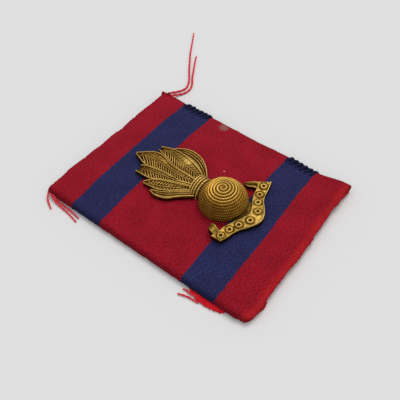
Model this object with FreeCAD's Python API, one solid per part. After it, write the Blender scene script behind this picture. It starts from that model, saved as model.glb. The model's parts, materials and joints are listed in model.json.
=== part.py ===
"""Flaming-grenade badge on a square of striped webbing, with its lugs, backing plate and split pin.

The badge lies face up: +X to the wearer's left of the badge's face, along the stripes; +Y up the
badge, towards the tip of the flame; +Z out of the face. The origin is under the middle of the
webbing patch, on the surface that its turned-under ends rest on. Millimetres.
"""
import FreeCAD, Part
import math
import os

V = FreeCAD.Vector
Z_UP = V(0, 0, 1)

# Webbing patch: one length of striped webbing, its two cut ends turned under a stiffening card.
ribbon_height = 62.0       # selvedge to selvedge, along Y
patch_width = 46.0         # fold to fold, along X
ribbon_thick = 0.7
card_thick = 0.5
card_inset = 4.0           # card short of each selvedge
turn_in = 7.0              # cut end turned under, from the fold
rim_width = 2.5            # flat rim beside each fold
flat_half = 12.0           # half the width of the flat middle that the badge lies on

# Badge: its own frame has its origin under the middle of the ball, on the cloth.
badge_x = -0.3
badge_y = -8.5
badge_turn = 1.5           # degrees, as it was pinned on
plume_thick = 0.9
ball_radius = 6.0
ball_wall = 0.6
collar_height = 2.8
collar_half = 3.35         # half the collar's width at the cloth
collar_lap = 0.8           # lowest band runs this far onto the ball
collar_band = 1.04         # length of each of the collar's bands
collar_steps = (0.30, 0.0, 0.22)   # how far each band stands out, from the ball upwards
scroll_width = 2.8
scroll_thick = 1.3
scroll_left = 0.4          # scroll struck this far to the left of the ball's middle
tail_thick = 0.9
tongue_width = 4.6         # the scroll's tongue, which carries it on the ball

# Fastening: two wire lugs through the cloth, a plate over them and a split pin through both.
lug_wire = 0.6
lug_above_neck = 8.85      # upper lug, behind the flame
lug_below_ball = 2.6       # lower lug, behind the scroll
solder_radius = 0.60
solder_height = 0.45
pin_diameter = 0.7
pin_running_gap = 0.05
pin_plate_gap = 0.03
pin_leg_gap = 0.06         # saw-thin gap between the pin's two half-round legs
pin_past_lug = 3.0         # legs stand out below the lower lug by this much
pin_eye_past_lug = 2.6     # eye's middle above the upper lug
pin_eye_radius = 1.25
plate_half_width = 5.5
plate_window_gap = 0.1     # between the plate and the window in the card that it lies in
plate_margin = 3.5         # plate beyond each lug, along Y
lug_ground_gap = 0.03      # under the lugs, when the patch lies on a table
slot_clear = 0.35          # around the lugs in cloth, card and plate

# Loose threads.
long_thread = 0.5
fray_thread = 0.4
stitch_thread = 0.45
stitch_pitch = 1.55
stitch_clear = 0.02
tuft_thick = 0.5

half_width = patch_width / 2
half_height = ribbon_height / 2
fold_radius = ribbon_thick + card_thick / 2
rim_top = 2 * ribbon_thick + card_thick
pin_radius = pin_diameter / 2
lug_bend = pin_radius + pin_running_gap + lug_wire / 2
pin_z = lug_ground_gap + lug_wire / 2 + lug_bend
card_bottom = pin_z + pin_radius + pin_plate_gap
cloth_top = card_bottom + card_thick + ribbon_thick
crown_rise = cloth_top - rim_top     # the middle of the patch stands above its rim by this much
collar_bottom = ball_radius - collar_lap
neck = collar_bottom + len(collar_steps) * collar_band
lug_upper_y = neck + lug_above_neck
lug_lower_y = -ball_radius - lug_below_ball
top_right = V(half_width, half_height, 0)
top_left = V(-half_width, half_height, 0)
bottom_left = V(-half_width, -half_height, 0)


def lifted(x, z):
    return V(x, -half_height, z)


def crown_line(z, reach):
    """Edges from -reach to +reach of the patch's crowned section, at height z over the rim."""
    foot = half_width - rim_width
    run = (foot - flat_half) / 2
    rise = crown_rise / 2
    radius = (run * run + rise * rise) / (2 * rise)
    turn = math.asin(run / radius)
    side = []
    side.append(lifted(reach, z))
    side.append(lifted(foot, z))
    for share in (0.5, 1.0):
        lean = turn * share
        side.append(lifted(foot - radius * math.sin(lean), z + radius * (1 - math.cos(lean))))
    for share in (0.5, 0.0):
        lean = turn * share
        side.append(lifted(flat_half + radius * math.sin(lean),
                           z + crown_rise - radius * (1 - math.cos(lean))))
    edges = []
    for sign in (-1, 1):
        p = [V(sign * q.x, q.y, q.z) for q in side]
        edges.append(Part.LineSegment(p[0], p[1]).toShape())
        edges.append(Part.Arc(p[1], p[2], p[3]).toShape())
        edges.append(Part.Arc(p[3], p[4], p[5]).toShape())
    middle = side[5]
    edges.append(Part.LineSegment(V(-middle.x, middle.y, middle.z), middle).toShape())
    return edges


def crown_layer(low, high, reach, inset=0.0):
    """A sheet between two copies of the crowned section, inset from each selvedge."""
    edges = crown_line(low, reach) + crown_line(high, reach)
    for x in (-reach, reach):
        edges.append(Part.LineSegment(lifted(x, low), lifted(x, high)).toShape())
    face = Part.Face(Part.Wire(Part.__sortEdges__(edges)))
    face.translate(V(0, inset, 0))
    return face.extrude(V(0, ribbon_height - 2 * inset, 0))


def box_between(low, high):
    return Part.makeBox(high.x - low.x, high.y - low.y, high.z - low.z, low)


def on_patch(shape):
    """Turns and places a badge piece from the badge's own frame onto the patch."""
    placed = shape.copy()
    placed.rotate(V(0, 0, 0), Z_UP, badge_turn)
    placed.translate(V(badge_x, badge_y, 0))
    return placed


def outline(start, steps):
    """A closed wire: each step is a point to run straight to, or a (mid, end) pair for an arc."""
    edges = []
    here = V(*start, 0)
    for step in steps:
        if isinstance(step[0], tuple):
            middle, end = V(*step[0], 0), V(*step[1], 0)
            edges.append(Part.Arc(here, middle, end).toShape())
        else:
            end = V(*step, 0)
            edges.append(Part.LineSegment(here, end).toShape())
        here = end
    edges.append(Part.LineSegment(here, V(*start, 0)).toShape())
    return Part.Wire(edges)


def plate_from(wire, low, thick):
    face = Part.Face(wire)
    face.translate(V(0, 0, low))
    return face.extrude(V(0, 0, thick))


def thread(corner, points, diameter, name):
    """A tube along straight runs joined by tangent arcs as large as the runs allow.

    The points are offsets from a corner of the patch, on the surface it lies on.
    """
    route = [corner + V(*p) for p in points]
    edges = []
    radii = []
    here = route[0]
    for before, bend, after in zip(route, route[1:], route[2:]):
        back = before - bend
        ahead = after - bend
        shorter = min(back.Length, ahead.Length)
        half_turn = (math.pi - back.getAngle(ahead)) / 2
        trim = 0.45 * shorter
        radius = trim / math.tan(half_turn)
        radii.append(radius)
        back.normalize()
        ahead.normalize()
        entry = bend + back * trim
        leave = bend + ahead * trim
        inward = back + ahead
        inward.normalize()
        apex = bend + inward * (radius / math.cos(half_turn) - radius)
        edges.append(Part.LineSegment(here, entry).toShape())
        edges.append(Part.Arc(entry, apex, leave).toShape())
        here = leave
    edges.append(Part.LineSegment(here, route[-1]).toShape())
    path = Part.Wire(edges)
    start = route[1] - route[0]
    section = Part.Wire(Part.makeCircle(diameter / 2, route[0], start))
    tube = path.makePipeShell([section], True, True)
    expected = math.pi * diameter ** 2 / 4 * path.Length
    print("%s: length %.1f, radii %s, volume %.3f of %.3f" % (
        name, path.Length, " ".join("%.1f" % r for r in radii), tube.Volume, expected))
    return tube


def slot(y, low, high):
    """The slot that a lug passes through, in the badge's frame."""
    across = lug_bend + lug_wire / 2 + slot_clear
    along = lug_wire / 2 + slot_clear
    return on_patch(box_between(V(-across, y - along, low), V(across, y + along, high)))


# ---------------------------------------------------------------- webbing patch
def make_ribbon():
    reach = half_width - fold_radius
    face_sheet = crown_layer(ribbon_thick + card_thick, rim_top, reach)
    under = crown_layer(0, ribbon_thick, reach)
    keep = half_width - turn_in
    under = under.cut(box_between(V(-keep, -half_height - 1, -1), V(keep, half_height + 1, 9)))
    ribbon = face_sheet.fuse(under)
    for sign in (-1, 1):
        centre = V(sign * reach, -half_height, fold_radius)
        fold = Part.makeCylinder(fold_radius, ribbon_height, centre, V(0, 1, 0))
        core = Part.makeCylinder(card_thick / 2, ribbon_height, centre, V(0, 1, 0))
        fold = fold.cut(core)
        inner = sorted((0.0, sign * reach))
        fold = fold.cut(box_between(V(inner[0], -half_height - 1, -1),
                                    V(inner[1], half_height + 1, 9)))
        ribbon = ribbon.fuse(fold)
    for y in (lug_upper_y, lug_lower_y):
        ribbon = ribbon.cut(slot(y, 0, cloth_top + 1))
    return ribbon.removeSplitter()


def make_card():
    card = crown_layer(ribbon_thick, ribbon_thick + card_thick, half_width - fold_radius,
                       card_inset)
    return card.cut(on_patch(plate_blank(plate_window_gap)))


def make_overcast_stitches():
    """Navy thread whipped over the right-hand fold, along the two navy stripes."""
    ring = fold_radius + stitch_thread / 2 + stitch_clear
    solids = []
    middle = half_width - fold_radius
    for first, count in ((half_height - 17.4, 6), (10.6 - half_height, 4)):
        for i in range(count):
            y = first + i * stitch_pitch
            stitch = Part.makeTorus(ring, stitch_thread / 2, V(middle, y, fold_radius), V(0, 1, 0))
            outside = box_between(V(middle, y - 1, fold_radius * 0.4),
                                  V(middle + 9, y + 1, rim_top + 9))
            solids.append(stitch.common(outside))
    return Part.makeCompound(solids)


# ---------------------------------------------------------------- badge
def make_ball():
    centre = V(0, 0, cloth_top)
    outer = Part.makeSphere(ball_radius, centre)
    inner = Part.makeSphere(ball_radius - ball_wall, centre)
    keep = box_between(V(-9, -9, cloth_top), V(9, 9, cloth_top + 9))
    return outer.cut(inner).common(keep)


def ball_space():
    return Part.makeSphere(ball_radius, V(0, 0, cloth_top))


def make_collar():
    """Three bands around the neck, each a low arch across the badge."""
    arch_radius = (collar_half ** 2 + collar_height ** 2) / (2 * collar_height)
    centre_z = cloth_top + collar_height - arch_radius
    collar = None
    for i, step in enumerate(collar_steps):
        start = V(0, collar_bottom + i * collar_band, centre_z)
        band = Part.makeCylinder(arch_radius + step, collar_band, start, V(0, 1, 0))
        collar = band if collar is None else collar.fuse(band)
    below = box_between(V(-9, -9, cloth_top - 15), V(9, 20, cloth_top))
    return collar.cut(below).cut(ball_space()).removeSplitter()


def make_plume():
    """The flame's plate, its outline drawn up from the neck."""
    wire = outline((-3.0, 0), [
        ((-7.0, 2.25), (-8.7, 5.95)),
        (-8.4, 7.6),
        (-7.4, 8.6),
        (-7.1, 11.1),
        (-5.7, 12.0),
        (-5.2, 15.5),
        (-2.4, 15.4),
        ((-1.4, 17.85), (-0.2, 19.6)),
        ((2.2, 17.95), (3.7, 15.4)),
        (5.0, 15.6),
        ((8.1, 10.55), (8.1, 5.15)),
        ((6.6, 1.95), (2.6, 0)),
    ])
    plate = plate_from(wire, cloth_top, plume_thick)
    plate.translate(V(0, neck, 0))
    return plate


def scroll_path(side):
    """Half of the scroll's centre line, from its lowest point out to one end, hung off the ball."""
    points = [(0, -3.95), (2.6, -2.85), (4.4, -1.65), (6.3, -0.85), (8.5, -0.4), (10.4, 0.2)]
    spline = Part.BSplineCurve()
    places = [V(side * x - scroll_left, y - ball_radius, cloth_top) for x, y in points]
    spline.interpolate(places, InitialTangent=V(side, 0, 0), FinalTangent=V(side * 1.0, 0.3, 0))
    return spline.toShape()


def swept_band(edge, width, low, thick):
    """A flat band of the given width along a curve in the plane of the cloth."""
    start = edge.valueAt(edge.FirstParameter)
    along = edge.tangentAt(edge.FirstParameter)
    across = Z_UP.cross(along)
    corners = []
    for side, height in ((-1, 0), (1, 0), (1, thick), (-1, thick)):
        corners.append(start + across * (side * width / 2) + V(0, 0, low - cloth_top + height))
    profile = Part.makePolygon(corners + corners[:1])
    sweep = Part.BRepOffsetAPI.MakePipeShell(Part.Wire(edge))
    sweep.setBiNormalMode(Z_UP)
    sweep.add(profile)
    sweep.build()
    sweep.makeSolid()
    return sweep.shape()


def make_scroll():
    scroll = None
    for side in (-1, 1):
        half = swept_band(scroll_path(side), scroll_width, cloth_top, scroll_thick)
        scroll = half if scroll is None else scroll.fuse(half)
    tongue = box_between(V(-tongue_width / 2, -ball_radius - 3, cloth_top),
                         V(tongue_width / 2, -ball_radius + 1.5, cloth_top + plume_thick))
    return scroll.fuse(tongue).cut(ball_space()).removeSplitter()


def make_scroll_tail(side):
    """The scroll's end folded back behind it, rising towards the ball to a forked tip."""
    wire = outline((side * 10.0, 1.1), [
        (side * 8.1, 0.6),
        (side * 6.7, 3.1),
        (side * 7.6, 2.95),
        (side * 8.3, 3.95),
    ])
    tail = plate_from(wire, cloth_top, tail_thick)
    tail.translate(V(-scroll_left, -ball_radius, 0))
    band = swept_band(scroll_path(side), scroll_width, cloth_top, scroll_thick)
    return tail.cut(band)


# ---------------------------------------------------------------- fastening
def make_lug(y):
    """A wire loop hanging from the badge's back, with the split pin's bore at its bottom."""
    radius = lug_wire / 2
    lug = Part.makeTorus(lug_bend, radius, V(0, y, pin_z), V(0, 1, 0))
    lug = lug.common(box_between(V(-9, y - 1, pin_z - 9), V(9, y + 1, pin_z)))
    for x in (-lug_bend, lug_bend):
        leg = Part.makeCylinder(radius, cloth_top - pin_z, V(x, y, pin_z), Z_UP)
        lug = lug.fuse(leg)
    return lug.removeSplitter()


def make_solder():
    """A ring of solder round each leg of the two lugs, where it meets the badge's back."""
    fillets = []
    for y in (lug_upper_y, lug_lower_y):
        for x in (-lug_bend, lug_bend):
            foot = V(x, y, cloth_top - solder_height)
            fillet = Part.makeCone(lug_wire / 2 + 0.08, solder_radius, solder_height, foot, Z_UP)
            fillet = fillet.cut(Part.makeCylinder(lug_wire / 2, 2, V(x, y, cloth_top - 1), Z_UP))
            side = (V(-9, y - 5, 0), V(0, y + 5, 9)) if x < 0 else (V(0, y - 5, 0), V(9, y + 5, 9))
            fillets.append(fillet.common(box_between(*side)))
    return Part.makeCompound(fillets)


def plate_blank(margin=0.0):
    """The backing plate before its slots are cut, or with a margin the window it lies in."""
    across = plate_half_width + margin
    low_y = lug_lower_y - plate_margin - margin
    high_y = lug_upper_y + plate_margin + margin
    blank = box_between(V(-across, low_y, card_bottom),
                        V(across, high_y, card_bottom + card_thick))
    corners = [e for e in blank.Edges if abs(e.tangentAt(e.FirstParameter).z) > 0.9]
    return blank.makeFillet(plate_half_width * 0.6 + margin, corners)


def make_backing_plate():
    plate = on_patch(plate_blank())
    for y in (lug_upper_y, lug_lower_y):
        plate = plate.cut(slot(y, 0, cloth_top))
    return plate


def make_split_pin():
    """Half-round wire bent double: an eye above the upper lug and two legs through both lugs."""
    eye_y = lug_upper_y + pin_eye_past_lug
    tip_y = lug_lower_y - pin_past_lug
    neck_y = eye_y - pin_eye_radius + pin_radius
    legs = Part.makeCylinder(pin_radius, neck_y - tip_y, V(0, tip_y, pin_z), V(0, 1, 0))
    nose = Part.makeSphere(pin_radius, V(0, tip_y, pin_z))
    eye = Part.makeTorus(pin_eye_radius, pin_radius / 2, V(0, eye_y, pin_z), Z_UP)
    pin = legs.fuse(nose)
    split_top = eye_y - pin_eye_radius - pin_radius
    split = box_between(V(-pin_leg_gap / 2, tip_y - 1, pin_z - 1),
                        V(pin_leg_gap / 2, split_top, pin_z + 1))
    return pin.cut(split).fuse(eye).removeSplitter()


# ---------------------------------------------------------------- loose threads
def make_long_thread():
    lie = long_thread / 2 + 0.02
    return thread(top_right, [
        (0.1, -0.4, fold_radius),
        (1.3, -0.3, 0.80),
        (2.8, -0.9, 0.45),
        (4.4, -2.0, lie),
        (6.3, -2.9, lie),
        (8.4, -2.3, lie),
        (11.1, -0.5, lie),
        (14.1, 2.1, lie),
        (17.5, 4.6, lie),
        (21.3, 7.5, lie),
        (25.6, 10.2, lie),
        (30.3, 13.4, lie),
    ], long_thread, "long_thread")


def make_short_thread():
    lie = long_thread / 2 + 0.02
    return thread(top_right, [
        (0.1, -1.4, fold_radius),
        (1.3, -1.8, 0.75),
        (2.9, -2.9, 0.40),
        (4.8, -4.0, lie),
        (6.9, -4.2, lie),
        (9.1, -3.3, lie),
        (11.6, -1.2, lie),
        (14.6, 0.7, lie),
        (17.7, 2.8, lie),
        (20.9, 4.7, lie),
    ], long_thread, "short_thread")


def make_corner_frays():
    lie = fray_thread / 2 + 0.02
    routes = [
        [(-0.15, -0.4, fold_radius), (-1.4, -1.2, 0.60), (-2.6, -2.8, lie),
         (-3.4, -4.7, lie)],
        [(-0.20, -1.3, fold_radius), (-1.15, -3.3, 0.45), (-1.5, -6.2, lie),
         (-1.7, -9.5, lie), (-2.5, -13, lie)],
        [(-0.24, -2.2, fold_radius), (-0.65, -4, 0.45), (-0.8, -6.8, lie),
         (-0.9, -9.8, lie), (-1.35, -12.7, lie)],
    ]
    strands = []
    for i, route in enumerate(routes):
        strands.append(thread(top_left, route, fray_thread, "corner fray %d" % (i + 1)))
    return Part.makeCompound(strands)


def make_frayed_tuft():
    """The loosened end of the turned-under webbing, showing past the left fold, and a strand."""
    wire = outline((-0.02, 14.6), [
        ((-1.6, 10.6), (-1.6, 6.1)),
        (-0.7, 4.7),
        (-0.02, 5.0),
    ])
    tuft = plate_from(wire, 0.05, tuft_thick)
    tuft.translate(bottom_left)
    lie = fray_thread / 2 + 0.02
    strand = thread(bottom_left, [(-1.84, 10.7, lie), (-1.9, 12.5, lie), (-2.2, 14.3, lie),
                                  (-2.8, 15.8, lie)], fray_thread, "tuft strand")
    return Part.makeCompound([tuft, strand])


nodes = {
    "ribbon": make_ribbon(),
    "stiffener_card": make_card(),
    "overcast_stitches": make_overcast_stitches(),
    "flame_plume": on_patch(make_plume()),
    "neck_collar": on_patch(make_collar()),
    "grenade_ball": on_patch(make_ball()),
    "scroll": on_patch(make_scroll()),
    "scroll_tail_left": on_patch(make_scroll_tail(-1)),
    "scroll_tail_right": on_patch(make_scroll_tail(1)),
    "lug_upper": on_patch(make_lug(lug_upper_y)),
    "lug_lower": on_patch(make_lug(lug_lower_y)),
    "lug_solder": on_patch(make_solder()),
    "backing_plate": make_backing_plate(),
    "split_pin": on_patch(make_split_pin()),
    "long_thread": make_long_thread(),
    "short_thread": make_short_thread(),
    "corner_frays": make_corner_frays(),
    "frayed_tuft": make_frayed_tuft(),
}

os.makedirs("parts", exist_ok=True)
for name, shape in nodes.items():
    shape.exportStep("parts/" + name + ".step")
    box = shape.BoundBox
    print("%-18s solids %2d valid %s volume %8.2f  x %.2f %.2f  y %.2f %.2f  z %.2f %.2f" % (
        name, len(shape.Solids), shape.isValid(), shape.Volume, box.XMin, box.XMax,
        box.YMin, box.YMax, box.ZMin, box.ZMax))
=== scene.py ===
import bmesh
import bpy
import json
import math
from mathutils import Matrix, Vector, noise


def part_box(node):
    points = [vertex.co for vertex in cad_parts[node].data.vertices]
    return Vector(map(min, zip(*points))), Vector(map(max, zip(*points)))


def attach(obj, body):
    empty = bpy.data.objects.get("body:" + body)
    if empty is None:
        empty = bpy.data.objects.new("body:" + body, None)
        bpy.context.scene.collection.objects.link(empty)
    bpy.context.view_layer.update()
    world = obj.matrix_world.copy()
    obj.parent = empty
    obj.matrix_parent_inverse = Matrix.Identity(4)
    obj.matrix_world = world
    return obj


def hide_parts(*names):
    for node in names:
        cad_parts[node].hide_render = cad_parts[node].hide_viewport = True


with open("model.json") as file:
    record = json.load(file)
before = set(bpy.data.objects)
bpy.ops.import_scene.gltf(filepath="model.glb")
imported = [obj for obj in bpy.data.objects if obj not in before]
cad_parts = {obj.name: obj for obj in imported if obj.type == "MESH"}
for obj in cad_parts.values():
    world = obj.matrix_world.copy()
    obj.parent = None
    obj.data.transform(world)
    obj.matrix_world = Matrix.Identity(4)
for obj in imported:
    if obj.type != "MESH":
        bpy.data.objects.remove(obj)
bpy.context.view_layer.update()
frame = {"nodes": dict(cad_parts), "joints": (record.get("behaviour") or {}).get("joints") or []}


# ---------------------------------------------------------------- webbing
# One length of red webbing with two navy stripes and a fine cross rib, with painted light making its
# lower selvedge brighter red. Its two cut ends are turned under a thin card. It is crowned a little
# in the middle, is pulled in along the right fold and droops at the bottom edge.
mm = 0.001
scene = bpy.context.scene
patch_high = Vector(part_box("ribbon")[1])
card_low = Vector(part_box("stiffener_card")[0])
plate_low, plate_high = (Vector(corner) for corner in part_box("backing_plate"))
half_width = patch_high.x
half_height = patch_high.y
webbing_thick = card_low.z
card_thick = plate_high.z - plate_low.z
rim_top = 2 * webbing_thick + card_thick
fold_radius = webbing_thick + card_thick / 2
flap_end = 16.0 * mm
flap = half_width - flap_end
mid_radius = fold_radius - webbing_thick / 2
face_reach = half_width - fold_radius
fold_run = math.pi * mid_radius
flap_reach = flap - fold_radius
cloth_reach = face_reach + fold_run + flap_reach
crown = patch_high.z - rim_top
# The pattern is measured in millimetres along the webbing and across it, from its middle. A stripe
# has the place of its lower border and its width, and leans a little along the webbing.
navy_stripes = ((-22.4, 9.0), (12.4, 9.8))
stripe_lean = -0.0175
rib_pitch = 0.46
row_pitch = 0.58
selvedge_inner = -28.9
selvedge_outer = -29.8
stitched_fold = 23.0
crease = 23.6
worn_spot = (21.4, 7.4, 0)
pale_fleck = (7.8, -2.9, 0)
red_deep = (0.110, 0.0015, 0.006, 1)
red_raised = (0.42, 0.0055, 0.019, 1)
lit_edge_red_deep = (0.24, 0.003, 0.006, 1)
lit_edge_red_raised = (0.60, 0.016, 0.020, 1)
navy_deep = (0.001, 0.0015, 0.014, 1)
navy_raised = (0.032, 0.035, 0.130, 1)
lint_on_red = (0.20, 0.09, 0.13, 1)
lint_on_navy = (0.075, 0.085, 0.19, 1)
thread_and_shade_navy = (0.002, 0.002, 0.012, 1)
worn_grey = (0.27, 0.17, 0.15, 1)
fleck_pale = (0.62, 0.40, 0.42, 1)


def eased(value, low, high):
    share = min(max((value - low) / (high - low), 0.0), 1.0)
    return share * share * (3 - 2 * share)


def hump(value, middle, spread):
    return math.exp(-((value - middle) / spread) ** 2)


def crown_at(x, y):
    across = 1 - eased(abs(x), 12 * mm, 20.5 * mm)
    top_fade = 1 - 0.62 * eased(y, 27 * mm, half_height)
    bottom_fade = 1 - eased(-y, 27 * mm, half_height)
    return crown * across * min(top_fade, bottom_fade)


def on_cloth(u, v):
    """The middle of the webbing's thickness, u along it from its middle and v across it."""
    side = math.copysign(1.0, u)
    run = abs(u)
    face = 1.0
    if run <= face_reach:
        x = run
        z = rim_top - webbing_thick / 2 + crown_at(run, v)
    elif run <= face_reach + fold_run:
        angle = (run - face_reach) / mid_radius
        x = face_reach + mid_radius * math.sin(angle)
        z = fold_radius + mid_radius * math.cos(angle)
        face = 0.5 + 0.5 * math.cos(angle)
    else:
        x = face_reach - (run - face_reach - fold_run)
        z = webbing_thick / 2
        face = 0.0
    # The lower half of each fold is squashed outwards.
    squashed = eased(run, face_reach + 0.35 * fold_run, face_reach + 0.85 * fold_run)
    squashed -= eased(run, face_reach + fold_run, face_reach + fold_run + 2.5 * mm)
    x = (x + 0.45 * mm * squashed) * side
    y = v
    # The right fold is pulled in at two places and leans out towards the top.
    right = eased(x, 4 * mm, half_width)
    x += right * mm * (0.9 * eased(v, 17 * mm, half_height) - 0.55 * hump(v, -4 * mm, 9 * mm)
                       - 1.15 * hump(v, -21 * mm, 7 * mm))
    # The top and bottom edges droop, and the lower left corner is rounded off.
    y -= 0.55 * mm * eased(v, 20 * mm, half_height) * hump(x, 2 * mm, 13 * mm)
    y -= 0.95 * mm * eased(-v, 12 * mm, half_height) * hump(x, -5 * mm, 13 * mm)
    y -= 0.95 * mm * eased(-v, 20 * mm, half_height) * hump(x, -19 * mm, 5.5 * mm)
    lower_left = eased(-x, 19.5 * mm, half_width + 0.8 * mm) * eased(-v, 26 * mm, half_height)
    y += 0.9 * mm * lower_left ** 2
    x += 0.5 * mm * lower_left ** 2
    y += 0.35 * mm * (x / half_width) * hump(v, -22 * mm, 6 * mm)
    # The lower right corner is thicker, and a crease runs down the face to it.
    z += 0.75 * mm * math.exp(-((x - half_width) ** 2 + (v + half_height) ** 2) / (7 * mm) ** 2)
    z -= face * 0.38 * mm * eased(-v, 28.6 * mm, half_height)
    z -= face * 0.10 * mm * hump(x, 20.6 * mm, 0.45 * mm) * eased(-v, 14 * mm, 20 * mm)
    # The selvedges are ragged, and the folds and the face are slightly uneven.
    edge = eased(abs(v), 29.6 * mm, half_height) * math.copysign(1.0, v)
    ragged = noise.noise(Vector((u * 330, v * 40, 0))) * 0.38 + noise.noise(
        Vector((u * 1500, 7.0, side))) * 0.16
    y += edge * ragged * mm
    rough_fold = noise.noise(Vector((v * 420, 5.0 * side, 1))) + 0.8 * noise.noise(
        Vector((v * 1300, 5.0 * side, 2)))
    x += 0.13 * mm * rough_fold * eased(abs(x), 20 * mm, half_width)
    z += face * 0.05 * mm * noise.noise(Vector((u * 160, v * 160, 2)))
    return Vector((x, y, z))


def new_piece(name, mesh, body="patch"):
    piece = bpy.data.objects.new(name, mesh)
    scene.collection.objects.link(piece)
    if body:
        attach(piece, body)
    return piece


def mesh_of(shape, name):
    mesh = bpy.data.meshes.new(name)
    shape.to_mesh(mesh)
    shape.free()
    return mesh


cloth = bmesh.new()
bmesh.ops.create_grid(cloth, x_segments=272, y_segments=128, size=1.0)
laid = cloth.loops.layers.uv.new("laid")
flat_place = {v: (v.co.x * cloth_reach, v.co.y * half_height) for v in cloth.verts}
for face in cloth.faces:
    face.smooth = True
    for loop in face.loops:
        u, v = flat_place[loop.vert]
        loop[laid].uv = (u / mm, v / mm)
for vert in cloth.verts:
    vert.co = on_cloth(*flat_place[vert])
webbing = new_piece("webbing", mesh_of(cloth, "webbing"))
wall = webbing.modifiers.new("wall", "SOLIDIFY")
wall.thickness = webbing_thick
wall.offset = 0.0


def node(tree, kind, inputs, output=0, **settings):
    made = tree.nodes.new(kind)
    for name, value in settings.items():
        setattr(made, name, value)
    for name, value in inputs.items():
        socket = made.inputs[name]
        if isinstance(value, bpy.types.NodeSocket):
            tree.links.new(value, socket)
        else:
            socket.default_value = value
    return made.outputs[output]


def new_finish(name):
    finish = bpy.data.materials.new(name)
    finish.use_nodes = True
    return finish, finish.node_tree, finish.node_tree.nodes["Principled BSDF"]


def mixed(tree, share, first, second, blend="MIX"):
    inputs = {0: share, 6: first, 7: second}
    return node(tree, "ShaderNodeMix", inputs, output=2, data_type="RGBA", blend_type=blend)


def maths(tree, operation, first, second=0.0, third=0.0):
    return node(tree, "ShaderNodeMath", {0: first, 1: second, 2: third}, operation=operation)


webbing_finish, tree, shader = new_finish("webbing_finish")
laid_at = node(tree, "ShaderNodeUVMap", {}, uv_map="laid")
parts = tree.nodes.new("ShaderNodeSeparateXYZ")
tree.links.new(laid_at, parts.inputs[0])
along, across = parts.outputs[0], parts.outputs[1]

# Two navy stripes with slightly wandering borders.
wander = node(tree, "ShaderNodeTexNoise", {"Vector": laid_at, "Scale": 1.6, "Detail": 2.0})
stray = maths(tree, "MULTIPLY_ADD", wander, 0.9, -0.45)
level = maths(tree, "MULTIPLY_ADD", along, stripe_lean, maths(tree, "ADD", across, stray))
border_soft = 0.1
navy_share = None
for border, width in navy_stripes:
    far = border + width
    rise = node(tree, "ShaderNodeMapRange", {0: level, 1: border - border_soft,
                                             2: border + border_soft})
    fall = node(tree, "ShaderNodeMapRange", {0: level, 1: far - border_soft, 2: far + border_soft,
                                             3: 1.0, 4: 0.0})
    band = maths(tree, "MULTIPLY", rise, fall)
    navy_share = band if navy_share is None else maths(tree, "ADD", navy_share, band)

# The cross rib and its rows of raised threads with random grain, as painted light on the raised
# threads and painted shade on the sunk ones.
rib_turns = maths(tree, "MULTIPLY", along, math.pi / rib_pitch)
rib = maths(tree, "ABSOLUTE", maths(tree, "SINE", rib_turns))
row = maths(tree, "SINE", maths(tree, "MULTIPLY", across, 2 * math.pi / row_pitch))
row_next = maths(tree, "MULTIPLY", row, maths(tree, "SINE", maths(tree, "MULTIPLY", rib_turns, 2.0)))
grain = node(tree, "ShaderNodeTexNoise", {"Vector": laid_at, "Scale": 2.6, "Detail": 3.0,
                                          "Roughness": 0.65})
patchy = node(tree, "ShaderNodeTexNoise", {"Vector": laid_at, "Scale": 0.16, "Detail": 2.0})
weave = maths(tree, "MULTIPLY_ADD", row_next, 0.16, maths(tree, "MULTIPLY", rib, 0.42))
weave = maths(tree, "ADD", weave, maths(tree, "MULTIPLY_ADD", grain, 2.2, -0.80))
red = mixed(tree, weave, red_deep, red_raised)
# Painted light: the lower selvedge turns towards the lamp as it droops, so it is mixed to a brighter
# and thicker red.
selvedge = node(tree, "ShaderNodeMapRange", {0: across, 1: selvedge_inner, 2: selvedge_outer,
                                             3: 0.0, 4: 0.75})
lit_edge_red = mixed(tree, weave, lit_edge_red_deep, lit_edge_red_raised)
red = mixed(tree, selvedge, red, lit_edge_red)
navy = mixed(tree, weave, navy_deep, navy_raised)
colour = mixed(tree, navy_share, red, navy)

# Pale lint; darker navy at the right fold in the stripes, partly the whipped thread and partly
# painted shade among its turns; a random patchy tone; and painted shade along both creases.
lint = node(tree, "ShaderNodeTexNoise", {"Vector": laid_at, "Scale": 3.6, "Detail": 1.0})
lint = node(tree, "ShaderNodeMapRange", {0: lint, 1: 0.54, 2: 0.74, 3: 0.0, 4: 0.34})
lint_colour = mixed(tree, navy_share, lint_on_red, lint_on_navy)
colour = mixed(tree, lint, colour, lint_colour)
tone_and_shade = node(tree, "ShaderNodeMapRange", {0: patchy, 1: 0.3, 2: 0.7, 3: 0.86, 4: 1.12})
from_fold = maths(tree, "ABSOLUTE", maths(tree, "SUBTRACT", along, stitched_fold))
thread_and_shade = node(tree, "ShaderNodeMapRange", {0: from_fold, 1: 1.2, 2: 1.8, 3: 0.85, 4: 0.0})
thread_and_shade = maths(tree, "MULTIPLY", thread_and_shade, navy_share)
colour = mixed(tree, thread_and_shade, colour, thread_and_shade_navy)
from_middle = maths(tree, "ABSOLUTE", along)
from_crease = maths(tree, "ABSOLUTE", maths(tree, "SUBTRACT", from_middle, crease))
crease_shade = node(tree, "ShaderNodeMapRange", {0: from_crease, 1: 0.4, 2: 1.9, 3: 0.55, 4: 1.0})
tone_and_shade = maths(tree, "MULTIPLY", tone_and_shade, crease_shade)
tone_and_shade_colour = node(tree, "ShaderNodeCombineColor", {0: tone_and_shade, 1: tone_and_shade, 2: tone_and_shade})
colour = mixed(tree, 1.0, colour, tone_and_shade_colour, "MULTIPLY")

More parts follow.
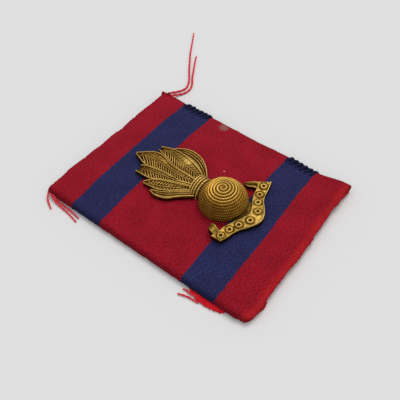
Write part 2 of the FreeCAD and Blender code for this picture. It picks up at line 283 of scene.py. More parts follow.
# A worn grey spot near the right fold and one pale fleck beside the ball.
spot_from = node(tree, "ShaderNodeVectorMath", {0: laid_at, 1: worn_spot}, output=1,
                 operation="DISTANCE")
ragged_spot = maths(tree, "MULTIPLY_ADD", grain, 1.1, spot_from)
spot = node(tree, "ShaderNodeMapRange", {0: ragged_spot, 1: 2.2, 2: 1.4, 3: 0.0, 4: 0.55})
colour = mixed(tree, spot, colour, worn_grey)
fleck_from = node(tree, "ShaderNodeVectorMath", {0: laid_at, 1: pale_fleck}, output=1,
                  operation="DISTANCE")
fleck = node(tree, "ShaderNodeMapRange", {0: fleck_from, 1: 0.32, 2: 0.10, 3: 0.0, 4: 0.6})
colour = mixed(tree, fleck, colour, fleck_pale)
tree.links.new(colour, shader.inputs["Base Color"])
shader.inputs["Roughness"].default_value = 0.85
shader.inputs["Specular IOR Level"].default_value = 0.08
bump = node(tree, "ShaderNodeBump", {"Strength": 0.8, "Distance": 0.07 * mm, "Height": weave})
tree.links.new(bump, shader.inputs["Normal"])
webbing.data.materials.append(webbing_finish)
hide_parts("ribbon")


# ---------------------------------------------------------------- card
# A grey-brown card stiffens the patch. It shows only from below, between the turned-under ends, and
# its right edge stops short of the fold, which is pulled in there.
nodes = frame["nodes"]
card_edge = 20.8 * mm
pulp_dark = (0.20, 0.15, 0.09, 1)
pulp_light = (0.42, 0.34, 0.23, 1)


def fibrous(name, dark, light, scale, detail, rough, shine, strength, depth):
    """A matt finish with fine dark and light fibres, the light ones raised."""
    finish, tree, shader = new_finish(name)
    place = node(tree, "ShaderNodeTexCoord", {}, output=3)
    fibre = node(tree, "ShaderNodeTexNoise", {"Vector": place, "Scale": scale, "Detail": detail})
    tree.links.new(mixed(tree, fibre, dark, light), shader.inputs["Base Color"])
    shader.inputs["Roughness"].default_value = rough
    shader.inputs["Specular IOR Level"].default_value = shine
    bump = node(tree, "ShaderNodeBump", {"Strength": strength, "Distance": depth, "Height": fibre})
    tree.links.new(bump, shader.inputs["Normal"])
    return finish


card_finish = fibrous("card_finish", pulp_dark, pulp_light, scale=900.0, detail=5.0, rough=0.9,
                      shine=0.5, strength=0.4, depth=0.05 * mm)
card = bmesh.new()
card.from_mesh(nodes["stiffener_card"].data)
bmesh.ops.remove_doubles(card, verts=card.verts, dist=0.001 * mm)
cut = bmesh.ops.bisect_plane(card, geom=card.verts[:] + card.edges[:] + card.faces[:],
                             plane_co=(card_edge, 0, 0), plane_no=(1, 0, 0), clear_outer=True)
cut_edges = [e for e in cut["geom_cut"] if isinstance(e, bmesh.types.BMEdge)]
bmesh.ops.contextual_create(card, geom=cut_edges)
bmesh.ops.recalc_face_normals(card, faces=card.faces)
card_piece = new_piece("stiff_card", mesh_of(card, "stiff_card"))
card_piece.data.materials.append(card_finish)
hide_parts("stiffener_card")


# ---------------------------------------------------------------- overcast stitches
# Navy thread whipped over the right-hand fold along the two navy stripes, six turns on each. Each
# turn slants a little and is drawn into the cloth.
stitch_starts = (half_height - 17.4 * mm, 9.45 * mm - half_height)
stitch_turns = 6
stitch_pitch = 1.5 * mm
stitch_size = 0.74 * mm
stitch_lay = 2.1 * mm
stitch_ring = fold_radius + 0.12 * mm
over_steps = 11
inward_steps = 5
stitch_steps = over_steps + inward_steps
inward_reach = 1.15 * mm
navy_yarn = fibrous("navy_yarn", (0.004, 0.005, 0.020, 1), (0.022, 0.024, 0.080, 1), scale=2200.0,
                    detail=2.0, rough=0.85, shine=0.1, strength=0.5, depth=0.03 * mm)


def twisted(name, lines, diameter, lay, plies=2, taper=0.35):
    """Yarn of thin plies twisted round each other along each line, one full turn in each lay."""
    ply = diameter * 0.42
    orbit = 0.55
    curve = bpy.data.curves.new(name, "CURVE")
    curve.dimensions = "3D"
    curve.bevel_depth = ply
    curve.bevel_resolution = 2
    curve.use_fill_caps = True
    for line in lines:
        for k in range(plies):
            spline = curve.splines.new("POLY")
            spline.points.add(len(line) - 1)
            travelled = 0.0
            for i, here in enumerate(line):
                before = line[max(i - 1, 0)]
                after = line[min(i + 1, len(line) - 1)]
                travelled += (here - before).length
                along = (after - before).normalized()
                across = along.cross(Vector((0, 0, 1))).normalized()
                upright = across.cross(along)
                angle = 2 * math.pi * (travelled / lay + k / plies)
                swing = (across * math.cos(angle) + upright * math.sin(angle)) * ply * orbit
                spot = here + swing
                spot.z = max(spot.z, ply)
                spline.points[i].co = (*spot, 1)
                spline.points[i].radius = 1.0 - taper * (i / (len(line) - 1)) ** 6
    holder = bpy.data.objects.new(name, curve)
    mesh = bpy.data.meshes.new_from_object(holder)
    bpy.data.objects.remove(holder)
    mesh.name = name
    for face in mesh.polygons:
        face.use_smooth = True
    return mesh


stitch_lines = []
for first in stitch_starts:
    for i in range(stitch_turns):
        middle = first + i * stitch_pitch
        slant = (1.25 + 0.5 * noise.noise(Vector((i * 1.7, first * 900, 0)))) * mm
        line = []
        for k in range(stitch_steps + 1):
            angle = math.radians(-15 + 105 * min(k / over_steps, 1))
            inward = inward_reach * max(k - over_steps, 0) / inward_steps
            level = middle + slant * (k / stitch_steps - 0.5)
            base = on_cloth(face_reach + mid_radius * math.radians(90), level)
            stitch_x = base.x - mid_radius - 0.10 * mm
            proud = stitch_ring * (1 - 0.14 * (1 - math.sin(math.pi * k / stitch_steps)))
            proud += 0.12 * mm * noise.noise(Vector((level * 700, k * 0.4, 3)))
            line.append(Vector((stitch_x + proud * math.cos(angle) - inward, level,
                                fold_radius + proud * math.sin(angle) - 0.06 * inward)))
        stitch_lines.append(line)
stitches = new_piece("whipped_thread", twisted("whipped_thread", stitch_lines, stitch_size,
                                               stitch_lay, plies=3, taper=0.0))
stitches.data.materials.append(navy_yarn)
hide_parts("overcast_stitches")


# ---------------------------------------------------------------- loose threads
# Red two-ply yarn, pulled loose from the webbing's cut ends: a long and a short thread lie on the
# table at the top right corner, three frays at the top left, and the cut ends show as darker nubs.
red_yarn = fibrous("red_yarn", (0.50, 0.010, 0.028, 1), (0.86, 0.062, 0.090, 1), scale=2600.0,
                   detail=2.0, rough=0.8, shine=0.15, strength=0.5, depth=0.03 * mm)


def route_line(name, corner, offsets):
    """A thread's smooth line: the NURBS curve with the route's points as its control points."""
    curve = bpy.data.curves.new(name, "CURVE")
    curve.dimensions = "3D"
    curve.resolution_u = 10
    spline = curve.splines.new("NURBS")
    spline.points.add(len(offsets) - 1)
    for point, offset in zip(spline.points, offsets):
        point.co = (*(Vector(corner) + Vector(offset) * mm), 1)
    spline.order_u = 3
    spline.use_endpoint_u = True
    holder = bpy.data.objects.new(name, curve)
    line = bpy.data.meshes.new_from_object(holder)
    points = [v.co.copy() for v in line.vertices]
    bpy.data.objects.remove(holder)
    return points


# The routes are in millimetres from the corner of the patch where the thread comes out.
thread_size = 0.5 * mm
long_lay = 3.4 * mm
short_lay = 2.9 * mm
lie = 0.27
fold = fold_radius / mm
top_right = (half_width, half_height, 0)
long_route = [
    (0.1, -0.4, fold), (1.3, -0.3, 0.80), (2.8, -0.9, 0.45), (4.4, -2.0, lie),
    (6.3, -2.9, lie), (8.4, -2.3, lie), (11.1, -0.5, lie), (14.1, 2.1, lie),
    (17.5, 4.6, lie), (21.3, 7.5, lie), (25.6, 10.2, lie), (30.3, 13.4, lie),
]
long_line = route_line("long_line", top_right, long_route)
long_thread = new_piece("long_yarn", twisted("long_yarn", [long_line], thread_size, long_lay))
long_thread.data.materials.append(red_yarn)
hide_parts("long_thread")

short_route = [
    (0.1, -1.4, fold), (1.3, -1.8, 0.75), (2.9, -2.9, 0.40), (4.8, -4.0, lie),
    (6.9, -4.2, lie), (9.1, -3.3, lie), (11.6, -1.2, lie), (14.6, 0.7, lie),
    (17.7, 2.8, lie), (20.9, 4.7, lie),
]
short_line = route_line("short_line", top_right, short_route)
short_thread = new_piece("short_yarn", twisted("short_yarn", [short_line], thread_size, short_lay))
short_thread.data.materials.append(red_yarn)
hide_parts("short_thread")

fray_size = 0.4 * mm
fray_lay = 2.6 * mm
fray_lie = 0.22
top_left = (-half_width, half_height, 0)
fray_routes = [
    [(-0.15, -0.4, fold), (-1.4, -1.2, 0.60), (-2.6, -2.8, fray_lie), (-3.4, -4.7, fray_lie)],
    [(-0.20, -1.3, fold), (-1.15, -3.3, 0.45), (-1.5, -6.2, fray_lie), (-1.7, -9.5, fray_lie),
     (-2.5, -13, fray_lie)],
    [(-0.24, -2.2, fold), (-0.65, -4, 0.45), (-0.8, -6.8, fray_lie), (-0.9, -9.8, fray_lie),
     (-1.35, -12.7, fray_lie)],
]
fray_lines = [route_line("fray_line", top_left, route) for route in fray_routes]
frays = new_piece("corner_yarn", twisted("corner_yarn", fray_lines, fray_size, fray_lay))
frays.data.materials.append(red_yarn)
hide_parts("corner_frays")

nub_size = 0.80 * mm
nub_lay = 1.8 * mm
nub_routes = [
    [(-1.1, -0.5, 1.30), (-0.6, -0.1, 1.60), (-0.2, 0.15, 1.8), (0.05, 0.40, 1.85)],
    [(-1.0, -1.6, 1.30), (-0.1, -1.6, 1.70), (0.35, -1.7, 1.9), (0.70, -1.60, 2.0)],
]
nub_lines = [route_line("nub_line", top_right, route) for route in nub_routes]
nubs = new_piece("cut_ends", twisted("cut_ends", nub_lines, nub_size, nub_lay, plies=3))
nub_finish = fibrous("nub_finish", (0.12, 0.002, 0.006, 1), (0.36, 0.006, 0.016, 1), scale=2000.0,
                     detail=2.0, rough=0.85, shine=0.1, strength=0.6, depth=0.05 * mm)
nubs.data.materials.append(nub_finish)


# ---------------------------------------------------------------- frayed shred
# The loosened cut end of the webbing shows past the left fold near the bottom: a flat ragged shred
# of bright red yarn, with one long and one short strand.
bottom_left = Vector((-half_width, -half_height, 0))
# Lengths without a unit are millimetres from that corner of the patch.
shred_reach = 1.6
shred_start = 4.8
shred_length = 9.6
shred_thick = 0.30 * mm
tucked_in = 0.35
strand_lay = 2.4 * mm
shred = bmesh.new()
bmesh.ops.create_grid(shred, x_segments=14, y_segments=70, size=1.0)
for vert in shred.verts:
    share = (vert.co.y + 1) / 2
    out = (vert.co.x + 1) / 2
    reach = shred_reach * math.sin(math.pi * min(max(share * 0.92 + 0.05, 0), 1)) ** 0.6
    reach += 0.30 * noise.noise(Vector((share * 21, 0, 4))) + 0.18 * noise.noise(
        Vector((share * 60, 1, 4)))
    height = 0.34 + 0.12 * noise.noise(Vector((share * 16, out * 3, 8))) - 0.12 * out
    outward = tucked_in - out * (reach + tucked_in)
    vert.co = bottom_left + Vector((outward, shred_start + share * shred_length, height)) * mm
for face in shred.faces:
    face.smooth = True
bmesh.ops.recalc_face_normals(shred, faces=shred.faces)
shred_piece = new_piece("frayed_shred", mesh_of(shred, "frayed_shred"))
shred_wall = shred_piece.modifiers.new("wall", "SOLIDIFY")
shred_wall.thickness = shred_thick
shred_wall.offset = 0.0
shred_finish = fibrous("shred_finish", (0.42, 0.002, 0.006, 1), (0.80, 0.016, 0.028, 1),
                       scale=1500.0, detail=3.0, rough=0.8, shine=0.1, strength=0.7,
                       depth=0.08 * mm)
shred_piece.data.materials.append(shred_finish)
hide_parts("frayed_tuft")
strand_routes = [
    [(-1.84, 10.7, fray_lie), (-1.9, 12.5, fray_lie), (-2.2, 14.3, fray_lie), (-2.8, 15.8, fray_lie)],
    [(-0.9, 12.0, 0.35), (-1.2, 13.4, fray_lie), (-0.9, 14.6, fray_lie), (-1.1, 15.6, fray_lie)],
]
strand_lines = [route_line("strand_line", bottom_left, route) for route in strand_routes]
strands = new_piece("shred_strands", twisted("shred_strands", strand_lines, fray_size, strand_lay))
strands.data.materials.append(red_yarn)


# ---------------------------------------------------------------- flame
# Six overlapping tongues of flame, die-struck as leaves in one brass plate. Each has a raised rim, a
# midrib and slanting ribs. The brass is worn bright on its ridges, dark with old polish in between.
# The whole badge is drawn in its own millimetres from the ball's middle, with the flame's tip along
# the way the pin slides, and then turned and set down on the webbing.
badge_low, badge_high = (Vector(corner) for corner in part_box("grenade_ball"))
pin_axis = Vector(frame["joints"][0]["axis"])
badge_turn = math.atan2(-pin_axis.x, pin_axis.y)
badge_middle = Vector(((badge_low.x + badge_high.x) / 2, (badge_low.y + badge_high.y) / 2,
                       badge_low.z))
badge_place = Matrix.Translation(badge_middle) @ Matrix.Rotation(badge_turn, 4, "Z")


def struck_brass(name, low, middle, high, rough=0.34):
    """Tarnished brass, coloured by the relief: 0 at the bottom of a recess and in painted shade, 1 on
    a worn ridge.
    """
    finish, tree, shader = new_finish(name)
    relief = node(tree, "ShaderNodeAttribute", {}, output=2, attribute_name="relief")
    place = node(tree, "ShaderNodeTexCoord", {}, output=3)
    mottle = node(tree, "ShaderNodeTexNoise", {"Vector": place, "Scale": 750.0, "Detail": 4.0,
                                               "Roughness": 0.65})
    stain = node(tree, "ShaderNodeTexNoise", {"Vector": place, "Scale": 190.0, "Detail": 2.0})
    worn = maths(tree, "MULTIPLY_ADD", mottle, 0.5, maths(tree, "SUBTRACT", relief, 0.25))
    lower = mixed(tree, node(tree, "ShaderNodeMapRange", {0: worn, 1: 0.10, 2: 0.55}), low, middle)
    colour = mixed(tree, node(tree, "ShaderNodeMapRange", {0: worn, 1: 0.55, 2: 1.0}), lower, high)
    patch = node(tree, "ShaderNodeMapRange", {0: stain, 1: 0.5, 2: 0.72, 3: 0.0, 4: 0.35})
    colour = mixed(tree, patch, colour, (middle[0] * 0.6, middle[1] * 0.62, middle[2] * 0.75, 1))
    tree.links.new(colour, shader.inputs["Base Color"])
    gloss = node(tree, "ShaderNodeMapRange", {0: worn, 1: 0.1, 2: 0.9, 3: rough + 0.22, 4: rough})
    tree.links.new(gloss, shader.inputs["Roughness"])
    shader.inputs["Metallic"].default_value = 1.0
    bump = node(tree, "ShaderNodeBump", {"Strength": 0.25, "Distance": 0.03 * mm, "Height": mottle})
    tree.links.new(bump, shader.inputs["Normal"])
    return finish


flame_brass = struck_brass("flame_brass", (0.036, 0.011, 0.002, 1), (0.235, 0.108, 0.011, 1),
                           (0.97, 0.66, 0.19, 1))
rim_inset = 0.24
rim_spread = 0.20
midrib_spread = 0.15
rubbed_spot = Vector((4.2, 14.6))
rubbed_radius = 1.5


def through(points, share):
    """A point on a smooth curve through a few points, share 0 at the first and 1 at the last."""
    spans = len(points) - 1
    i = min(int(share * spans), spans - 1)
    t = share * spans - i
    p = [Vector(points[min(max(i + k, 0), spans)]) for k in (-1, 0, 1, 2)]
    first = 2 * p[1] + (p[2] - p[0]) * t
    second = (2 * p[0] - 5 * p[1] + 4 * p[2] - p[3]) * t * t
    third = (3 * p[1] - p[0] - 3 * p[2] + p[3]) * t ** 3
    return (first + second + third) / 2


def walled(shape, verts):
    """Closes a struck surface: its rim goes straight down to the badge's flat back."""
    depth = shape.verts.layers.float["relief"]
    foot = [e for e in shape.edges if e.is_boundary and e.verts[0] in verts and e.verts[1] in verts]
    # The wall's relief drops to 0.15 partway down and to 0 at its foot: painted shade where the badge
    # meets the cloth.
    for step, dark in ((0.72, 0.15), (0.0, 0.0)):
        pulled = bmesh.ops.extrude_edge_only(shape, edges=foot)["geom"]
        for item in pulled:
            if isinstance(item, bmesh.types.BMVert):
                item.co.z *= step
                item[depth] = dark
        foot = [e for e in pulled if isinstance(e, bmesh.types.BMEdge) and e.is_boundary]
    bmesh.ops.contextual_create(shape, geom=foot)


def finished(shape, name, finish, replaced):
    """Turns a struck shape, drawn in the badge's own millimetres, into a piece on the patch."""
    bmesh.ops.recalc_face_normals(shape, faces=shape.faces)
    for face in shape.faces:
        face.smooth = True
    bmesh.ops.transform(shape, matrix=badge_place @ Matrix.Scale(mm, 4), verts=shape.verts)
    piece = new_piece(name, mesh_of(shape, name))
    piece.data.materials.append(finish)
    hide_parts(replaced)


flame = bmesh.new()
flame_relief = flame.verts.layers.float.new("relief")


def tongue_of_flame(left, right, lift, swell, ribs, slopes, midrib=0.0, strakes=0, seed=0):
    """One leaf between its left and right edges, both drawn from the foot to the tip.

    An outer leaf has a few strakes along it in place of the midrib and the slanting ribs.
    """
    made = bmesh.ops.create_grid(flame, x_segments=150, y_segments=38, size=1.0)["verts"]
    length = sum((Vector(b) - Vector(a)).length for a, b in zip(left, left[1:]))
    for vert in made:
        share = (vert.co.x + 1) / 2
        across = vert.co.y
        edge_a = through(left, share)
        edge_b = through(right, share)
        spread = (edge_b - edge_a).length / 2
        spot = edge_a.lerp(edge_b, (across + 1) / 2)
        inset = (1 - abs(across)) * spread
        field = eased(inset, 0.40, 0.66)
        rim = hump(inset, rim_inset, rim_spread)
        off_mid = (across - midrib) * spread
        middle_rib = hump(off_mid, 0, midrib_spread) * eased(share, 0.02, 0.2)
        middle_rib *= 1 - eased(share, 0.9, 1)
        side = 0 if off_mid < 0 else 1
        reach = abs(off_mid)
        turns = (share * length + slopes[side] * reach) / (ribs * math.hypot(1, slopes[side]))
        jitter = 0.10 * noise.noise(Vector((spot.x * 0.9, spot.y * 0.9, seed)))
        rib = (0.5 + 0.5 * math.cos(2 * math.pi * (turns + jitter))) ** 1.2
        rib_room = field * eased(reach, 0.20, 0.36) * (1 - eased(share, 0.92, 0.99))
        if strakes:
            rib = 0.5 + 0.5 * math.cos(math.pi * strakes * (across + 1))
            rib_room = field
            middle_rib = 0
        fine = 0.46 * rim + 0.40 * middle_rib + 0.38 * rib * rib_room - 0.34 * field
        shape = lift + swell * (1 - across * across) * math.sin(math.pi * min(share + 0.12, 1)) ** 0.5
        fade = 1 - 0.35 * eased(share, 0.8, 1.0)
        grain = 0.03 * noise.noise(Vector((spot.x * 3.1, spot.y * 3.1, seed + 5)))
        vert.co = Vector((spot.x, spot.y, shape * fade + fine + grain))
        tone = 0.02 + 0.92 * rim + 0.85 * middle_rib + 0.74 * rib * rib_room
        rubbed = hump((spot - rubbed_spot).length, 0, rubbed_radius)
        tone += 0.05 * (1 - across * across) * field + 0.38 * rubbed
        vert[flame_relief] = min(max(tone, 0.0), 1.0)
    walled(flame, set(made))


tongue_of_flame(
    left=[(-3.5, 6.0), (-5.7, 8.9), (-8.0, 11.5), (-8.8, 14.4), (-8.2, 16.6)],
    right=[(-2.3, 7.4), (-4.1, 9.9), (-5.8, 12.2), (-6.9, 14.2), (-7.5, 16.5)],
    lift=0.72, swell=0.25, ribs=0.72, slopes=(1.2, 1.2), strakes=3, seed=1)
tongue_of_flame(
    left=[(-2.5, 7.4), (-4.3, 10.0), (-6.0, 12.5), (-7.2, 15.6), (-7.2, 19.6)],
    right=[(-1.1, 7.6), (-2.3, 11.1), (-3.3, 14.4), (-4.5, 17.6), (-6.3, 19.9)],
    lift=0.86, swell=0.45, ribs=0.60, slopes=(1.2, 0.8), midrib=-0.15, seed=2)
tongue_of_flame(
    left=[(-1.5, 7.4), (-2.8, 11.7), (-4.0, 15.5), (-5.4, 19.2), (-5.2, 23.9)],
    right=[(-0.4, 7.4), (-1.4, 12.0), (-1.3, 16.0), (-1.5, 20.0), (-2.5, 24.0)],
    lift=0.96, swell=0.55, ribs=0.60, slopes=(0.9, 0.8), midrib=0.15, seed=3)
tongue_of_flame(
    left=[(-1.1, 7.4), (-2.0, 12.5), (-1.9, 17.5), (-2.4, 22.8), (-0.5, 27.9)],
    right=[(1.0, 7.4), (1.2, 12.5), (1.6, 17.0), (3.2, 22.6), (0.3, 27.9)],
    lift=0.92, swell=0.55, ribs=0.58, slopes=(1.1, 0.9), midrib=0.1, seed=4)
tongue_of_flame(
    left=[(2.3, 7.4), (4.0, 10.4), (5.2, 13.4), (5.8, 16.6), (6.0, 20.6)],
    right=[(3.2, 6.8), (6.1, 9.4), (8.1, 12.6), (8.6, 16.4), (6.9, 20.9)],
    lift=0.78, swell=0.30, ribs=0.62, slopes=(1.2, 1.2), strakes=4, seed=6)
tongue_of_flame(
    left=[(0.6, 7.4), (0.8, 12.0), (1.2, 16.0), (2.6, 20.0), (3.9, 23.6)],
    right=[(2.8, 7.4), (4.6, 11.0), (5.8, 14.6), (6.4, 19.0), (5.6, 23.8)],
    lift=1.02, swell=0.75, ribs=0.56, slopes=(1.2, 1.2), midrib=0.0, seed=5)
finished(flame, "flame", flame_brass, "flame_plume")


# ---------------------------------------------------------------- collar
# The band that ties the flame to the ball: a low arch of the same struck brass with four raised
# hoops, sweated to the flame at one end and to the ball at the other.
collar = bmesh.new()
collar_relief = collar.verts.layers.float.new("relief")
made = bmesh.ops.create_grid(collar, x_segments=60, y_segments=48, size=1.0)["verts"]
collar_half = 3.35
collar_height = 2.8
collar_foot = 4.7
collar_length = 3.8
hoops = (5.9, 6.75, 7.45, 8.15)
hoop_spread = 0.26
arch = (collar_half ** 2 + collar_height ** 2) / (2 * collar_height)
sweep = math.acos((arch - collar_height) / arch)
for vert in made:
    along = collar_foot + collar_length * (vert.co.x + 1) / 2
    angle = vert.co.y * sweep
    hoop = max(hump(along, middle, hoop_spread) for middle in hoops)
    twist = 0.08 * math.cos(angle * 26 + along * 4)
    radius = arch - 0.16 + 0.34 * hoop + twist * hoop - 0.5 * eased(along, 8.2, 8.6)
    vert.co = Vector((radius * math.sin(angle), along,
                      max(radius * math.cos(angle) + collar_height - arch, 0.02)))
    vert[collar_relief] = 0.15 + 0.8 * hoop
walled(collar, set(made))
finished(collar, "collar", flame_brass, "neck_collar")


# ---------------------------------------------------------------- ball
# The grenade: a hollow half ball wound with a rope-like spiral, smooth at the top and cut into
# slanting ticks lower down. It is struck in brass, a little flatter than a true half ball.
ball_radius = 6.0
ball_rise = 5.4
ball_turns = 12
ball_shift = (-0.3, -0.4, 0)
rope_height = 0.32
profile_steps = 132
spin_steps = 400
ball_brass = struck_brass("ball_brass", (0.070, 0.020, 0.002, 1), (0.35, 0.170, 0.020, 1),
                          (0.60, 0.41, 0.095, 1))
ball = bmesh.new()
ball_relief = ball.verts.layers.float.new("relief")
profile = [ball.verts.new((0, 0, ball_radius))]
for k in range(1, profile_steps + 1):
    angle = 0.5 * math.pi * k / profile_steps
    profile.append(ball.verts.new((ball_radius * math.sin(angle), 0, ball_radius * math.cos(angle))))
line = [ball.edges.new(pair) for pair in zip(profile, profile[1:])]
bmesh.ops.spin(ball, geom=profile + line, cent=(0, 0, 0), axis=(0, 0, 1), angle=2 * math.pi,
               steps=spin_steps, use_merge=True)
bmesh.ops.remove_doubles(ball, verts=ball.verts, dist=0.0005)
for vert in ball.verts:
    around = math.atan2(vert.co.y, vert.co.x)
    down = math.acos(min(max(vert.co.z / ball_radius, -1), 1))
    ring = down / (0.5 * math.pi) * ball_turns
    turns = ring - around / (2 * math.pi)
    ridge = (0.5 + 0.5 * math.cos(2 * math.pi * turns)) ** 0.6
    ticks = 8 + 6 * round(turns)
    rope = 0.5 + 0.5 * math.cos(around * ticks + 2.4 * (turns - round(turns)) * math.pi)
    cut = 0.12 + 0.80 * eased(down, 0.50, 0.9)
    ridge *= 1 - cut * (1 - rope)
    ridge *= eased(down, 0.0, 0.06)
    worn = 0.72 + 0.10 * (1 - eased(down, 0.7, 1.3))
    swell = 1.017 + (rope_height * ridge - 0.10) / ball_radius
    vert[ball_relief] = min(0.12 + worn * ridge, 1.0)
    shoulder = max(math.sin(down), 0.001) ** -0.11
    vert.co.x *= swell * shoulder
    vert.co.y *= swell * shoulder
    vert.co.z = ball_rise * swell * max(math.cos(down), 0.0) ** 0.89
bmesh.ops.translate(ball, vec=ball_shift, verts=ball.verts)
finished(ball, "ball", ball_brass, "grenade_ball")


# ---------------------------------------------------------------- scroll
# A ribbon-shaped scroll under the ball with raised rims. A plain run of eight rings and lozenges
# takes the place of lettering, and both ends fold back in small tails.
scroll_brass = struck_brass("scroll_brass", (0.045, 0.018, 0.003, 1), (0.32, 0.185, 0.028, 1),
                            (0.62, 0.43, 0.12, 1), rough=0.38)
scroll = bmesh.new()
scroll_relief = scroll.verts.layers.float.new("relief")
scroll_left = 0.4
scroll_rim = 0.17
ornament_count = 8
lozenge_radius = 1.06
ring_radius = 0.94
ornament_height = 0.22
ornament_slope = 0.16
ornament_wall = 0.46
well_depth = 0.09
scroll_half_width = 1.4
scroll_side = [(0, -3.95), (2.6, -2.85), (4.4, -1.65), (6.3, -0.85), (8.5, -0.4), (10.4, 0.2)]
scroll_line = [(-x - scroll_left, y - ball_radius) for x, y in reversed(scroll_side[1:])]
scroll_line += [(x - scroll_left, y - ball_radius) for x, y in scroll_side]


def on_scroll(share, across):
    """A place on the scroll, share 0 at its left end to 1 at its right, across -1 to 1."""
    here = through(scroll_line, share)
    ahead = through(scroll_line, min(share + 0.01, 1)) - through(scroll_line, max(share - 0.01, 0))
    normal = Vector((-ahead.y, ahead.x)).normalized()
    wide = scroll_half_width + 0.35 * hump(share, 0.5, 0.13)
    skew = Vector((-0.45, 0)) * across * (eased(share, 0.85, 1) + eased(share, 0.15, 0))
    return here + normal * across * wide + skew


def scroll_height(share):
    wave = 0.16 * math.cos(share * 4 * math.pi)
    return 1.12 + wave


ornament_shares = [0.075 + 0.85 * i / (ornament_count - 1) for i in range(ornament_count)]
ornament_places = [on_scroll(share, 0.0) for share in ornament_shares]
made = bmesh.ops.create_grid(scroll, x_segments=240, y_segments=30, size=1.0)["verts"]
for vert in made:
    share = (vert.co.x + 1) / 2
    across = vert.co.y
    spot = on_scroll(share, across)
    shadowed = max(hump((spot - centre).length, 1.05, 0.22) for centre in ornament_places)
    inset = (1 - abs(across)) * scroll_half_width
    end_inset = min(share, 1 - share) * 24.0
    rim = max(hump(inset, 0.16, 0.14), hump(end_inset, 0.15, 0.14) * 0.8)
    hammered = 0.03 * noise.noise(Vector((spot.x * 2.2, spot.y * 2.2, 3)))
    vert.co = Vector((spot.x, spot.y, scroll_height(share) + scroll_rim * rim + hammered))
    tone = 0.66 + 0.25 * rim + 0.16 * noise.noise(vert.co * 1.5) - 0.55 * shadowed
    vert[scroll_relief] = min(max(tone, 0.0), 1.0)
walled(scroll, set(made))

for i, share in enumerate(ornament_shares):
    spot = ornament_places[i]
    ahead = on_scroll(min(share + 0.01, 1), 0.0) - on_scroll(max(share - 0.01, 0), 0.0)
    height = scroll_height(share)
    corners = 4 if i % 2 == 0 else 20
    outer = lozenge_radius if corners == 4 else ring_radius
    made = bmesh.ops.create_cone(scroll, cap_ends=False, segments=corners, radius1=outer,
                                 radius2=outer - ornament_slope, depth=ornament_height)["verts"]
    rim = [e for e in scroll.edges if e.is_boundary and e.verts[0] in made and e.verts[0].co.z > 0]
    inner = bmesh.ops.extrude_edge_only(scroll, edges=rim)["geom"]
    inner = [v for v in inner if isinstance(v, bmesh.types.BMVert)]
    narrowed = (outer - ornament_wall) / (outer - ornament_slope)
    bmesh.ops.scale(scroll, vec=(narrowed, narrowed, 1), verts=inner)
    rim = [e for e in scroll.edges if e.is_boundary and e.verts[0] in inner and e.verts[1] in inner]
    well = bmesh.ops.extrude_edge_only(scroll, edges=rim)["geom"]
    well = [v for v in well if isinstance(v, bmesh.types.BMVert)]
    bmesh.ops.scale(scroll, vec=(0.80, 0.80, 1), verts=well)
    bmesh.ops.translate(scroll, vec=(0, 0, -well_depth), verts=well)
    rim = [e for e in scroll.edges if e.is_boundary and e.verts[0] in well and e.verts[1] in well]
    bmesh.ops.contextual_create(scroll, geom=rim)
    for vert in made + inner + well:
        for edge in vert.link_edges:
            edge.smooth = False
    # The foot of each ornament gets relief 0: painted shade where it rises from the scroll.
    for vert in made + inner:
        vert[scroll_relief] = 0.66 if vert.co.z > 0 else 0.0
    for vert in well:
        vert[scroll_relief] = 0.0
    place = Matrix.Translation((spot.x, spot.y, height + 0.06)) @ Matrix.Rotation(
        math.atan2(ahead.y, ahead.x), 4, "Z")
    bmesh.ops.transform(scroll, matrix=place, verts=made + inner + well)

# The tongue that carries the scroll on the ball is lower than the scroll and painted darker, as shade
# in the gap under the ball, darkest next to it.
made = bmesh.ops.create_grid(scroll, x_segments=24, y_segments=14, size=1.0)["verts"]
for vert in made:
    x = vert.co.x * 3.3
    y = -ball_radius - 0.7 + vert.co.y * 2.2
    bulge = 0.35 * math.cos(vert.co.x * 1.4) * (0.5 - 0.5 * vert.co.y)
    vert.co = Vector((x - 0.3, y, 0.65 + bulge + 0.10 * noise.noise(Vector((x, y, 6)))))
    vert[scroll_relief] = 0.24 - 0.12 * eased(y, -8.2, -6.4)
walled(scroll, set(made))
finished(scroll, "scroll_band", scroll_brass, "scroll")


def scroll_tail(name, replaced, left, right, curl, groove):
    tail = bmesh.new()
    relief = tail.verts.layers.float.new("relief")
    made = bmesh.ops.create_grid(tail, x_segments=36, y_segments=16, size=1.0)["verts"]
    for vert in made:
        share = (vert.co.x + 1) / 2
        across = vert.co.y
        spot = through(left, share).lerp(through(right, share), (across + 1) / 2)
        rim = hump(1 - abs(across), 0.16, 0.16)
        valley = groove * hump(across, 0.1, 0.28)
        height = 0.95 + curl * math.sin(math.pi * share) - 0.2 * share + 0.2 * rim - 0.45 * valley
        vert.co = Vector((spot.x, spot.y, max(height, 0.1)))
        vert[relief] = min(max(0.45 + 0.5 * rim - 0.5 * valley, 0), 1)
    walled(tail, set(made))
    finished(tail, name, scroll_brass, replaced)


scroll_tail("left_tail", "scroll_tail_left",
            left=[(-10.2, -5.3), (-10.1, -4.2), (-9.8, -3.2), (-9.0, -2.3)],
            right=[(-8.3, -5.0), (-8.2, -4.1), (-7.9, -3.3), (-7.6, -2.1)], curl=0.95, groove=0.0)
scroll_tail("right_tail", "scroll_tail_right",
            left=[(7.3, -5.0), (7.1, -4.1), (6.6, -3.0), (6.9, -1.5)],
            right=[(9.0, -4.8), (9.0, -3.7), (8.3, -2.7), (7.1, -1.4)], curl=0.15, groove=0.8)


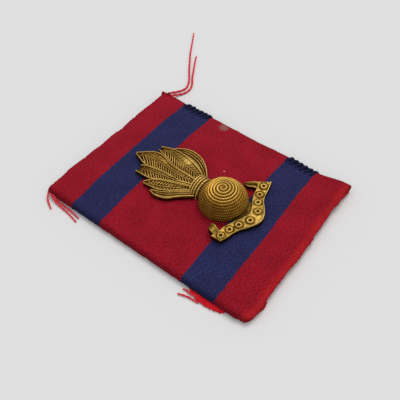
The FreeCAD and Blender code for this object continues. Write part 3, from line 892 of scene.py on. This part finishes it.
# ---------------------------------------------------------------- fastening
# Two brass wire lugs soldered to the badge's back pass through the cloth, a thin brass plate lies
# over them, and a split pin runs through both. All are plain wire, sheet and solder.
def plain_metal(name, dark, light, rough, scale):
    finish, tree, shader = new_finish(name)
    place = node(tree, "ShaderNodeTexCoord", {}, output=3)
    mottle = node(tree, "ShaderNodeTexNoise", {"Vector": place, "Scale": scale, "Detail": 4.0,
                                               "Roughness": 0.6})
    tree.links.new(mixed(tree, mottle, dark, light), shader.inputs["Base Color"])
    gloss = node(tree, "ShaderNodeMapRange", {0: mottle, 1: 0.3, 2: 0.7, 3: rough + 0.12, 4: rough})
    tree.links.new(gloss, shader.inputs["Roughness"])
    shader.inputs["Metallic"].default_value = 0.9
    bump = node(tree, "ShaderNodeBump", {"Strength": 0.2, "Distance": 0.02 * mm, "Height": mottle})
    tree.links.new(bump, shader.inputs["Normal"])
    return finish


wire_brass = plain_metal("wire_finish", (0.34, 0.20, 0.06, 1), (0.72, 0.52, 0.22, 1), 0.30, 1400.0)
plate_brass = plain_metal("plate_finish", (0.38, 0.24, 0.07, 1), (0.70, 0.50, 0.20, 1), 0.34, 500.0)
solder_grey = plain_metal("solder_finish", (0.22, 0.22, 0.21, 1), (0.52, 0.52, 0.50, 1), 0.45, 1200.0)
for name, finish in (("lug_upper", wire_brass), ("lug_lower", wire_brass),
                     ("split_pin", wire_brass), ("backing_plate", plate_brass),
                     ("lug_solder", solder_grey)):
    nodes[name].data.materials.clear()
    nodes[name].data.materials.append(finish)


# ---------------------------------------------------------------- table, light and view
# The patch lies on a plain pale table under a wide soft light from behind it and to the right, and
# is seen from the lower left at about fifty degrees above the table.
table_half = 2.0
table_drop = 0.02 * mm
table_white = (0.775, 0.77, 0.77, 1)
table_mesh = bmesh.new()
bmesh.ops.create_grid(table_mesh, x_segments=1, y_segments=1, size=table_half)
bmesh.ops.translate(table_mesh, vec=(0, 0, -table_drop), verts=table_mesh.verts)
table_data = bpy.data.meshes.new("table")
table_mesh.to_mesh(table_data)
table_mesh.free()
table = new_piece("table", table_data, body=None)
table_finish, tree, shader = new_finish("table_finish")
shader.inputs["Base Color"].default_value = table_white
shader.inputs["Roughness"].default_value = 0.9
shader.inputs["Specular IOR Level"].default_value = 0.1
table_data.materials.append(table_finish)

sky = bpy.data.worlds.new("room")
scene.world = sky
sky.use_nodes = True
sky.node_tree.nodes["Background"].inputs["Color"].default_value = (1, 1, 1, 1)
sky.node_tree.nodes["Background"].inputs["Strength"].default_value = 0.66

lamp = bpy.data.lights.new("window", "SUN")
lamp.energy = 1.22
lamp.angle = math.radians(28)
lamp_place = bpy.data.objects.new("window", lamp)
scene.collection.objects.link(lamp_place)
lamp_from = Vector((0.80, 0.16, 1.05))
lamp_place.rotation_euler = lamp_from.to_track_quat("Z", "Y").to_euler()

view = bpy.data.cameras.new("view")
view.sensor_width = 36
view.lens = 49.68
view_place = bpy.data.objects.new("view", view)
scene.collection.objects.link(view_place)
scene.camera = view_place
ahead = Vector((0.46884584, 0.43179256, -0.77054446))
upward = Vector((0.62539088, 0.45377006, 0.63480626))
sideways = ahead.cross(upward)
turn = Matrix((sideways, upward, -ahead)).transposed().to_4x4()
eye = Vector((-0.06695895, -0.06239262, 0.10520597 + rim_top))
view_place.matrix_world = Matrix.Translation(eye) @ turn
scene.view_settings.view_transform = "Standard"
